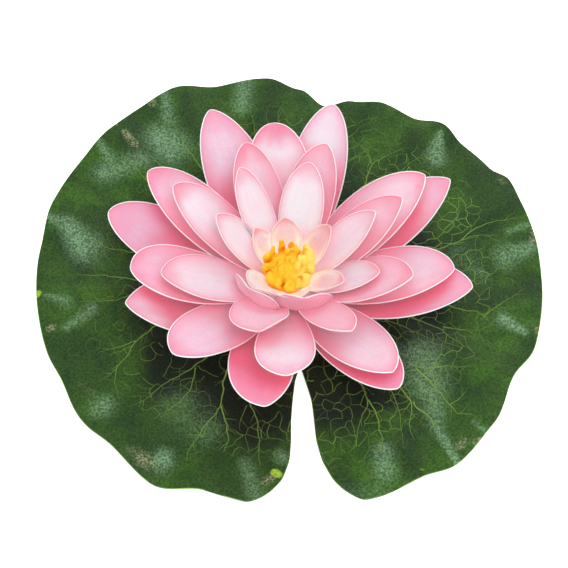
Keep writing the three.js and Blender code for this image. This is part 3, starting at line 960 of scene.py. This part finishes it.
def pad_mesh(spacing):
    """The pad as one closed sheet: the same points above and below, which meet at its cut line
    and at the peg's hole."""
    outline = pad_outline()
    hole = around(PEG_HOLE, np.linspace(0, 2 * np.pi, HOLE_POINTS, endpoint=False))
    tangent = np.roll(outline, -1, axis=0) - np.roll(outline, 1, axis=0)
    inward = np.column_stack([-tangent[:, 1], tangent[:, 0]])
    inward /= np.hypot(*inward.T)[:, None]
    rings = [outline] + [outline + inward * gap for gap in EDGE_RINGS] + [hole]
    loops = []
    start = 0
    for ring in rings:
        numbers = np.arange(len(ring)) + start
        loops += list(zip(numbers.tolist(), np.roll(numbers, -1).tolist()))
        start += len(ring)
    verts, faces = triangulated(np.vstack(rings + [pad_field(outline, spacing)]), loops)
    middle = verts[faces].mean(axis=1)
    faces = faces[inside(outline, middle) & (np.hypot(*middle.T) > PEG_HOLE - 0.02)]
    a, b, c = verts[faces].swapaxes(0, 1)
    area = np.cross(b - a, c - a)
    faces[area < 0] = faces[area < 0][:, ::-1]
    faces = faces[np.abs(area) > NO_AREA]

    edge = np.minimum(distance_to(outline, verts), np.hypot(*verts.T) - PEG_HOLE + 1e-4)
    edge[edge < ON_EDGE] = 0
    inset = 1 - np.minimum(edge / PAD_EDGE_ROUND, 1)
    taper = PAD_EDGE_SHARE + (1 - PAD_EDGE_SHARE) * np.minimum(edge / PAD_EDGE_TAPER, 1)
    half = PAD_SHEET / 2 * taper * (1 - inset ** 3) ** (1 / 3)
    height = pad_height(*verts.T)
    own = edge > 0
    lower = np.arange(len(verts))
    lower[own] = len(verts) + np.arange(own.sum())
    xyz = np.vstack([np.column_stack([verts, height + half]),
                     np.column_stack([verts, height - half])[own]])
    mesh = bpy.data.meshes.new("pad_sheet")
    mesh.from_pydata((xyz * MM).tolist(), [], faces.tolist() + lower[faces][:, ::-1].tolist())
    columns = {"edge": edge, **mark_and_painted_light_columns(*verts.T)}
    columns = {name: np.concatenate([upper, upper[own]]) for name, upper in columns.items()}
    columns["face"] = np.repeat([1, -1], [len(verts), own.sum()])
    write_columns(mesh, columns)
    mesh.shade_smooth()
    return mesh


# -------------------- veins

# Veins that leave the flower: strength, then the places that they run through, as azimuth in
# degrees and radius in millimetres. A branch starts on its trunk.
VEINS = (
    (0.8, (197, 56), (198, 77), (202, 88), (206, 96), (209, 105), (210, 116)),
    (0.5, (202, 88), (202, 98), (202, 111)),
    (0.4, (208, 103), (212, 110), (218, 113)),
    (0.8, (223, 46), (225, 66), (224, 76), (222, 86), (223, 104), (221, 112)),
    (0.6, (226, 70), (230, 80), (231, 92), (229, 107)),
    (1.0, (235, 44), (238, 64), (244, 81), (243, 94), (242, 106), (243, 118)),
    (0.8, (244, 81), (248, 89), (251, 97), (252, 107)),
    (0.8, (250, 60), (254, 76), (259, 83), (261, 95), (262, 109)),
    (0.4, (253, 76), (253, 86), (254, 92)),
    (0.6, (176, 76), (176, 88), (175, 100), (176, 122)),
    (0.5, (180, 74), (182, 84), (185, 96), (185, 118)),
    (0.5, (164, 84), (165, 104), (163, 116), (161, 128)),
    (0.4, (150, 96), (148, 108), (144, 114)),
    (0.5, (139, 100), (138, 114), (137, 127)),
    (0.7, (121, 84), (122, 100), (122, 112), (121, 131)),
    (0.5, (132, 98), (132, 110), (131, 127)),
    (0.4, (100, 96), (100, 112), (100, 127)),
    (0.4, (94, 100), (93, 114), (91, 130)),
    (0.5, (72, 78), (69, 90), (66, 100), (64, 109)),
    (0.7, (56, 74), (59, 88), (61, 98), (58, 110), (55, 118)),
    (0.5, (61, 98), (64, 104), (68, 108)),
    (0.6, (60, 76), (57, 89), (51, 100), (49, 120)),
    (0.7, (16, 74), (17, 90), (18, 102), (18, 110), (16, 122)),
    (0.6, (18, 101), (20, 109), (21, 120), (19, 138)),
    (0.7, (354, 80), (352, 94), (351, 104), (350, 118)),
    (0.5, (350, 108), (354, 115), (357, 122), (0, 130)),
    (0.7, (346, 58), (345, 74), (343, 88), (339, 99), (338, 104)),
    (0.5, (344, 87), (345, 100), (343, 112)),
    (0.5, (340, 56), (339, 70), (337, 81), (338, 91)),
    (0.6, (324, 80), (326, 90), (330, 100), (333, 113)),
    (0.5, (325, 90), (323, 103), (321, 111)),
    (0.5, (24, 96), (26, 106), (34, 118)),
    (0.8, (304, 58), (303, 74), (300, 84), (294, 92), (289, 104)),
    (0.8, (301, 82), (300, 94), (298, 104), (296, 113)),
    (0.6, (312, 72), (311, 86), (307, 98), (301, 116)),
    (0.9, (314, 74), (314, 87), (312, 99), (307, 106), (305, 114)),
    (0.8, (313, 97), (313, 110), (311, 121)),
    (0.8, (324, 84), (322, 98), (320, 110), (319, 118), (321, 127)),
    (0.5, (320, 112), (323, 115), (326, 114)),
)
VEIN_SEED = 5
NET_WIDTH = 0.42        # width of the fine net's lines as a share of a main vein's
VEIN_ROUNDS = 12        # times that a vein's line is smoothed
TWIG_EVERY = 7          # a vein may send out a twig at each of these steps, mm
TWIG_CHANCE = 0.65
TWIG_LENGTH = (5, 10)   # mm
NET_LEFT_OUT = 0.2      # share of the fine net's lines that are left out
NET_STEP = 1.3          # spacing of the points on the fine net's lines, mm
CLEAR_OF_FLOWER = 34    # no vein is laid nearer to the peg than this, mm


def flowing(places, step=LINE_STEP):
    """Points a step apart on a smooth line past a few places."""
    line = along_line(np.array(places, float),
                      lambda size: np.linspace(0, size, max(3, round(size / step))))
    for _ in range(VEIN_ROUNDS):
        line[1:-1] = (line[:-2] + 2 * line[1:-1] + line[2:]) / 4
    return line


def vein_lines(draw, width):
    """The veins and their side twigs: points, the width at each and its strength."""
    lines = []

    def vein(places, thick, strength):
        line = flowing(places)
        share = np.linspace(0, 1, len(line))
        lines.append((line, thick * (1 - 0.6 * share), strength * (1 - 0.6 * share ** 2)))
        return line

    def ray(turn):
        return np.array((math.cos(turn), math.sin(turn)))

    for strength, *route in VEINS:
        line = vein([radius * ray(math.radians(turn)) for turn, radius in route],
                    width * (0.35 + 0.65 * strength), 0.2 + 0.65 * strength)
        for at in range(8, len(line) - 4, TWIG_EVERY):
            if draw.random() > TWIG_CHANCE:
                continue
            ahead = line[at + 1] - line[at]
            turn = math.atan2(ahead[1], ahead[0]) + draw.choice((-1, 1)) * draw.uniform(0.5, 1.0)
            long = draw.uniform(*TWIG_LENGTH)
            knee = line[at] + long / 2 * ray(turn)
            tip = knee + long / 2 * ray(turn - draw.uniform(-0.6, 0.6))
            vein([line[at], knee, tip], width * 0.45, 0.2 + 0.25 * strength)
    return lines


def net_cells(cell, draw):
    """The cells of the fine net: the points that they lie round, with the border between each two
    neighbours as the pair of points and the pair of the border's ends."""
    seeds = []
    for gy in np.arange(-135, 155, cell * 0.87):
        for gx in np.arange(-145, 145, cell):
            seeds.append((gx + draw.uniform(-0.5, 0.5) * cell + (gy / cell % 2) * cell / 2,
                          gy + draw.uniform(-0.5, 0.5) * cell))
    verts, faces = triangulated(seeds)
    a, b, c = verts[faces].swapaxes(0, 1)
    ab, ac = b - a, c - a
    twice = 2 * np.cross(ab, ac)
    square_b, square_c = (ab ** 2).sum(1), (ac ** 2).sum(1)
    centre = a + np.column_stack([ac[:, 1] * square_b - ab[:, 1] * square_c,
                                  ab[:, 0] * square_c - ac[:, 0] * square_b]) / twice[:, None]
    sides = {}
    for number, face in enumerate(faces.tolist()):
        for p, q in zip(face, face[1:] + face[:1]):
            sides.setdefault((min(p, q), max(p, q)), []).append(centre[number])
    return verts, sides


def net_lines(cell, draw, width):
    """The net of fine veins: borders between cells, drawn in patches."""
    verts, sides = net_cells(cell, draw)
    plain = [net_strength(*place) for place in verts]
    drawn = [draw.random() < chance for chance in plain]
    lines = []
    for (one, other), ends in sides.items():
        if len(ends) != 2 or not (drawn[one] or drawn[other]) or draw.random() < NET_LEFT_OUT:
            continue
        p, q = ends
        size = math.hypot(*(q - p))
        if not 0.4 < size < 2.2 * cell:
            continue
        bow = np.array([p[1] - q[1], q[0] - p[0]]) * draw.uniform(-0.15, 0.15)
        share = np.linspace(0, 1, max(3, round(size / NET_STEP) + 1))[:, None]
        line = p + (q - p) * share + bow * 4 * share * (1 - share)
        strength = (0.1 + 0.5 * max(plain[one], plain[other])) * draw.uniform(0.4, 1.1)
        lines.append((line, np.full(len(line), width * draw.uniform(0.75, 1.15)),
                      np.full(len(line), strength)))
    return lines


def net_strength(x, y):
    """How plainly the fine net shows at a place: in patches, most at the right, least at the rim
    and back left."""
    radius = math.hypot(x, y - PAD_CENTRE[1])
    turn = math.degrees(math.atan2(y, x)) % 360
    rim = max(0.0, min(1.0, (128 - radius) / 26))
    back_left = math.exp(-((turn - 130) / 40) ** 2)
    right = 1 + 0.35 * math.cos(math.radians(turn - 20))
    patch = 0.68 + noise.noise(Vector((x, y, 3)) / 21)
    return rim * right * (1 - 0.6 * back_left) * max(0.0, min(1.0, patch))


def wander(x, y):
    """Where a place of the drawn net lands, with the waver of hand drawn lines. Millimetres."""
    slow = noise.noise_vector(Vector((x, y, 0)) / 6)
    quick = noise.noise_vector(Vector((x, y, 9)) / 2.4)
    return x + 1.1 * slow.x + 0.3 * quick.x, y + 1.1 * slow.y + 0.3 * quick.y


def vein_start(lines, surface):
    """Edges along all lines, laid on the pad, with the attributes that the vein tree reads."""
    points, edges, widths, fades = [], [], [], []
    for line, width, fade in lines:
        last = None
        for (x, y), wide, strength in zip(line, width, fade):
            x, y = wander(x, y)
            hit, normal, _, _ = surface.ray_cast(Vector((x * MM, y * MM, 1)), Vector((0, 0, -1)))
            if not hit or normal.z < 0.6 or math.hypot(x, y) < CLEAR_OF_FLOWER:
                last = None
                continue
            points.append(tuple(hit))
            widths.append(wide * MM)
            fades.append(strength)
            if last is not None:
                edges.append((last, len(points) - 1))
            last = len(points) - 1
    x, y, _ = np.array(points).T / MM
    columns = {"width": widths, "fade": fades, **mark_and_painted_light_columns(x, y)}
    return points_mesh("vein_lines", columns, points, edges)


def vein_group():
    """Flat raised strips along edges: width and strength come from the edges' points."""
    tree, ask = new_group("Raised veins", "Geometry", geometry="Geometry", flatness=0.2,
                          material="Material")
    lines = tree.node("SetCurveNormal", tree.node("MeshToCurve", ask.geometry), mode="Z_UP")
    profile = tree.node("CurvePrimitiveCircle", 4, None, None, None, 0.5)
    profile = tree.node("Transform", profile, None, None, tree.vector(1.0, ask.flatness, 1.0))
    strips = tree.node("CurveToMesh", lines, profile, tree.named("width"), True)
    return tree.give_solid(tree.node("SetShadeSmooth", strips), ask.material)


# -------------------- tuft

# Lobes of the tuft: azimuth, distance of the top from the axis, height of the top, half-width. Two
# slim ones stand up at the back and a flat wall on the right. Millimetres, degrees.
LOBES = (
    (147, 8.9, 42.0, 2.2), (112, 8.4, 44.0, 2.2), (48, 6.0, 42.5, 3.3), (28, 10.2, 44.0, 3.4),
    (5, 10.8, 41.5, 3.8), (76, 9.0, 39.5, 2.8), (17, 10.6, 43.0, 3.4), (354, 11.0, 39.0, 3.6),
    (167, 10.6, 38.5, 2.8), (191, 10.9, 36.0, 3.1), (219, 11.2, 33.0, 3.2), (245, 11.0, 31.5, 3.0),
    (270, 11.3, 31.0, 3.4), (295, 10.9, 31.5, 3.0), (321, 11.4, 33.0, 3.2), (344, 11.4, 36.5, 2.9),
    (312, 6.0, 39.0, 3.6), (354, 6.4, 41.5, 3.4), (240, 6.6, 38.5, 3.4), (192, 6.6, 40.0, 3.0),
    (95, 3.4, 41.0, 3.0), (275, 1.2, 41.0, 2.8),
)
LOBE_FOOT = 20          # height of the lobes' feet, mm
CORE_RADIUS = 10.8      # round core that the lobes are fused to, mm
CORE_HEIGHT = 26        # height of its middle, mm


def lobe_columns(seed):
    """Place and size of each lobe of the tuft, in metres and radians."""
    draw = random.Random(seed)
    rows = [(math.radians(turn), out * MM, top * MM, draw.uniform(-0.35, 0.35), thick * MM)
            for turn, out, top, thick in LOBES]
    return dict(zip(("turn", "out", "top", "lean", "thick"), zip(*rows)))


def tuft_group():
    """Rounded lobes, one from each point, fused with a core into one crumpled lump of foam."""
    tree, ask = new_group(
        "Stamen tuft", "Geometry", geometry="Geometry", foot=17.5 * MM, top=45 * MM, steps=16,
        lumps=1.0 * MM, voxel=0.4 * MM, material="Material")
    line = tree.node("CurvePrimitiveLine", (0, 0, 0), (0, 0, 1))
    line = tree.node("ResampleCurve", line, None, ask.steps)
    lines = tree.node("RealizeInstances", tree.node("InstanceOnPoints", ask.geometry, None, line))
    f = 1 - (1 - tree.node("SplineParameter")) ** 1.6
    radius = tree.named("out") * (0.72 + f * 1.1 - f * f * 0.82)
    turn = tree.named("turn") + tree.named("lean") * (f * f - 0.5)
    height = LOBE_FOOT * MM + (tree.named("top") - LOBE_FOOT * MM) * f
    lines = tree.node("SetPosition", lines, None,
                      tree.vector(radius * turn.cosine(), radius * turn.sine(), height))
    lines = tree.node("SetCurveNormal", lines, mode="Z_UP")
    profile = tree.node("CurvePrimitiveCircle", 16, None, None, None, 1.0)
    profile = tree.node("Transform", profile, None, None, (1.0, 0.8, 1.0))
    cap = ((f - 0.78) / 0.22).at_least(0)
    size = tree.named("thick") * (1 - cap * cap).at_least(0.01) ** 0.5
    lobes = tree.node("CurveToMesh", lines, profile, size, True)
    core = tree.node("MeshUVSphere", 64, 40, CORE_RADIUS * MM)
    core = tree.node("Transform", core, (0, 0, CORE_HEIGHT * MM), None, (1, 1, 0.95))
    place = tree.node("InputPosition")
    crease = abs(tree.noise(place, 150.0, 1.0) - 0.5).ease(0.0, 0.09) - 0.7
    lump = (crease + (tree.noise(place, 400.0) - 0.5)) * ask.lumps
    body = tree.node("SetPosition", tree.join(lobes, core), None, None,
                     tree.scaled(tree.node("InputNormal"), lump))
    body = tree.node("MeshToVolume", body, 1.0, ask.voxel, ask.voxel * 2,
                     resolution_mode="VOXEL_SIZE")
    body = tree.node("VolumeToMesh", body, ask.voxel, 0.1, 0.0, resolution_mode="VOXEL_SIZE")
    x, y, z = tree.parts(tree.node("BlurAttribute", place, 5, data_type="FLOAT_VECTOR"))
    body = tree.node("SetPosition", body, None,
                     tree.vector(x, y, z.at_least(ask.foot).at_most(ask.top)))
    return tree.give_solid(tree.node("SetShadeSmooth", body), ask.material)


# -------------------- shelter

# How far away another piece still shelters a piece, mm.
SHELTER_REACH = {"petals_outer_foam": 32, "petals_second_foam": 32, "petals_third_foam": 26,
                 "petals_fourth_foam": 20, "petals_inner_foam": 14, "tuft_fingers": 7,
                 "pad_sheet": 60, "pad_veins": 60}
SHELTER_RAYS = 18
PETAL_CLEAR = 0.4       # the rays start this far off a petal or the tuft, mm
PAD_CLEAR = 1.2         # and this far off the pad and its veins
GOLDEN_TURN = math.pi * (3 - math.sqrt(5))      # spreads the rays evenly


def shelter_group():
    """How much of the outlook of every point is blocked by the pieces round it, 0 to 1. The rays
    lean to the point's normal, because a surface counts light from straight ahead the most."""
    tree, ask = new_group("Shelter", "Geometry", geometry="Geometry", neighbours="Object",
                          reach=30 * MM, clear=0.4 * MM, upright=0.0)
    around_it = tree.node("ObjectInfo", ask.neighbours, output=4)
    normal = tree.total(tree.scaled(tree.node("InputNormal"), 1 - ask.upright),
                        tree.vector(0.0, 0.0, ask.upright))
    start = tree.total(tree.node("InputPosition"), tree.scaled(normal, ask.clear))
    blocked = 0
    for number in range(SHELTER_RAYS):
        height = 1 - (2 * number + 1) / SHELTER_RAYS
        level = math.sqrt(1 - height * height)
        turn = number * GOLDEN_TURN
        lean = (level * math.cos(turn), level * math.sin(turn), height)
        hit = tree.node("Raycast", around_it, None, start, tree.total(normal, lean), ask.reach)
        blocked = hit + blocked
    share = tree.node("BlurAttribute", blocked / SHELTER_RAYS, 3)
    return tree.give_out(geometry=tree.store(ask.geometry, shelter=share))


# -------------------- operators

class LILY_OT_pad(bpy.types.Operator):
    """Make the waved lily pad and its veins"""

    bl_idname = "lily.pad"
    bl_label = "Lily pad"

    def execute(self, context):
        settings = context.scene.lily_pad
        sheet = keep("pad_sheet", pad_mesh(settings.grid / MM))
        sheet.data.materials.append(pad_material("pad_foam", settings))
        surface = BVHTree.FromObject(sheet, bpy.context.evaluated_depsgraph_get())
        draw = random.Random(VEIN_SEED)
        noise.seed_set(VEIN_SEED)
        width = settings.vein_width / MM
        lines = vein_lines(draw, width) + net_lines(settings.cell / MM, draw, NET_WIDTH * width)
        veins = grow("pad_veins", vein_start(lines, surface), vein_group(),
                     material=pad_material("pad_vein", settings, vein=True))
        dress(sheet, "pad_foam", "lily_pad")
        dress(veins, "pad_foam")
        return {"FINISHED"}


class LILY_OT_rosettes(bpy.types.Operator):
    """Make the five rosettes of foam petals"""

    bl_idname = "lily.rosettes"
    bl_label = "Petal rosettes"

    def execute(self, context):
        settings = context.scene.lily_petals
        group = petal_group()
        for rosette in ROSETTES:
            node = "petals_" + rosette["name"]
            slot = "petal_" + rosette["name"]
            dyes = rosette["dyes"]
            cut = Vector(settings.cut_edge).lerp(Vector(dyes["tip"]), rosette["cut_dye"])
            piece = grow(
                node + "_foam", points_mesh(node, petal_columns(rosette, node)), group,
                reach=rosette["reach"] * MM, level=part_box(node)[0].z + DISC_BELOW * MM,
                cup=math.radians(rosette["cup"]), thickness=settings.thickness,
                edge_round=settings.edge_round, ripple=settings.ripple, rows=settings.rows,
                columns=settings.columns, root_width=rosette["root"],
                material=petal_material(slot, dyes, tuple(cut)))
            dress(piece, slot, node)
        return {"FINISHED"}


class LILY_OT_tuft(bpy.types.Operator):
    """Make the yellow stamen tuft"""

    bl_idname = "lily.tuft"
    bl_label = "Stamen tuft"

    def execute(self, context):
        settings = context.scene.lily_tuft
        low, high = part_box("stamen_tuft")
        start = points_mesh("tuft_points", lobe_columns(settings.seed))
        piece = grow("tuft_fingers", start, tuft_group(), foot=low.z, top=high.z,
                     material=tuft_material(tuple(settings.yellow)))
        dress(piece, "tuft_foam", "stamen_tuft")
        return {"FINISHED"}


class LILY_OT_shelter(bpy.types.Operator):
    """Write on the pieces how much the others shelter them, for the shade and glow painted into their
    colours
    """

    bl_idname = "lily.shelter"
    bl_label = "Sheltered places"

    def execute(self, context):
        crowd = bmesh.new()
        for name in SHELTER_REACH:
            if name != "pad_veins":
                crowd.from_mesh(bpy.data.objects[name].data)
        mesh = bpy.data.meshes.new("neighbours")
        crowd.to_mesh(mesh)
        crowd.free()
        neighbours = keep("neighbours", mesh)
        group = shelter_group()
        for name, reach in SHELTER_REACH.items():
            piece = bpy.data.objects[name].data
            flat = name.startswith("pad")
            result = shaped(piece.copy(), group, neighbours=neighbours, reach=reach * MM,
                            clear=(PAD_CLEAR if flat else PETAL_CLEAR) * MM, upright=float(flat))
            values = np.empty(len(piece.vertices), np.float32)
            result.attributes["shelter"].data.foreach_get("value", values)
            write_columns(piece, {"shelter": values})
            bpy.data.meshes.remove(result)
        bpy.data.objects.remove(neighbours)
        return {"FINISHED"}


class LILY_OT_peg(bpy.types.Operator):
    """Give the hidden fixing peg its plastic"""

    bl_idname = "lily.peg"
    bl_label = "Fixing peg"

    def execute(self, context):
        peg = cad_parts["fixing_peg"]
        material = peg_material()
        if not peg.material_slots:
            peg.data.materials.append(material)
        for slot in peg.material_slots:
            slot.material = material
        return {"FINISHED"}


FLOOR_HALF = 3.0                # half the floor's width, m
FLOOR_CORNERS = ((-1, -1, 0), (1, -1, 0), (1, 1, 0), (-1, 1, 0))
# Each light's place and width in metres, and its share of the main light's power.
LAMPS = {"main_light": ((0.12, -0.40, 1.18), 0.8, 1), "back_light": ((0.25, 0.95, 0.85), 0.6, 0.3)}
LAMP_AIM = (0, 0, 0.02)
CAMERA_AIM = (-0.0022, 0.0020, 0.0080)
CAMERA_RISE = 57.2              # the camera looks down at this angle from 1 m away, degrees
CAMERA_LENS = 115.4             # focal length on a 36 mm wide sensor, mm


def aimed(name, data, place, target):
    """A light or the camera at its place, turned to its target."""
    thing = keep(name, data)
    thing.location = place
    thing.rotation_euler = (Vector(target) - Vector(place)).to_track_quat("-Z", "Y").to_euler()
    return thing


class LILY_OT_stage(bpy.types.Operator):
    """Make the plain floor, the soft light and the camera"""

    bl_idname = "lily.stage"
    bl_label = "Stage"

    def execute(self, context):
        settings = context.scene.lily_stage
        scene = context.scene
        mesh = bpy.data.meshes.new("floor")
        mesh.from_pydata([Vector(c) * FLOOR_HALF for c in FLOOR_CORNERS], [], [(0, 1, 2, 3)])
        material, tree, shader = new_material("floor_paper")
        tree.give_all(shader, {
            "Base Color": (*settings.floor, 1), "Roughness": 0.9, "Specular IOR Level": 0.1,
            "Emission Color": WHITE, "Emission Strength": settings.glow})
        mesh.materials.append(material)
        keep("floor", mesh)

        scene.world = bpy.data.worlds.new("studio")
        scene.world.use_nodes = True
        studio = scene.world.node_tree
        Tree(studio).give_all(studio.nodes["Background"], {"Color": WHITE, "Strength": settings.sky})
        scene.view_settings.view_transform = "Standard"

        for name, (place, size, share) in LAMPS.items():
            lamp = bpy.data.lights.new(name, "AREA")
            lamp.shape = "DISK"
            lamp.size = size
            lamp.energy = share * settings.key
            aimed(name, lamp, place, LAMP_AIM)

        camera = bpy.data.cameras.new("camera")
        camera.lens = CAMERA_LENS
        camera.sensor_width = 36
        rise = math.radians(CAMERA_RISE)
        place = Vector(CAMERA_AIM) + Vector((0, -math.cos(rise), math.sin(rise)))
        scene.camera = aimed("camera", camera, place, CAMERA_AIM)
        return {"FINISHED"}


class LILY_PT_panel(bpy.types.Panel):
    """The lily's pieces in the 3D view's sidebar"""

    bl_idname = "LILY_PT_panel"
    bl_label = "Water lily"
    bl_space_type = "VIEW_3D"
    bl_region_type = "UI"
    bl_category = "Water lily"

    def draw(self, context):
        for operator in OPERATORS:
            self.layout.operator(operator.bl_idname)


SETTINGS = {"lily_petals": PetalSettings, "lily_pad": PadSettings, "lily_tuft": TuftSettings,
            "lily_stage": StageSettings}
OPERATORS = (LILY_OT_pad, LILY_OT_rosettes, LILY_OT_tuft, LILY_OT_shelter, LILY_OT_peg,
             LILY_OT_stage)


def register():
    for kind in (*SETTINGS.values(), *OPERATORS, LILY_PT_panel):
        bpy.utils.register_class(kind)
    for name, kind in SETTINGS.items():
        setattr(bpy.types.Scene, name, bpy.props.PointerProperty(type=kind))


def unregister():
    for name in SETTINGS:
        delattr(bpy.types.Scene, name)
    for kind in reversed((*SETTINGS.values(), *OPERATORS, LILY_PT_panel)):
        bpy.utils.unregister_class(kind)


def main():
    """Makes every piece."""
    register()
    bpy.ops.lily.pad()
    bpy.ops.lily.rosettes()
    bpy.ops.lily.tuft()
    bpy.ops.lily.shelter()
    bpy.ops.lily.peg()
    bpy.ops.lily.stage()


if __name__ == "__main__":
    main()
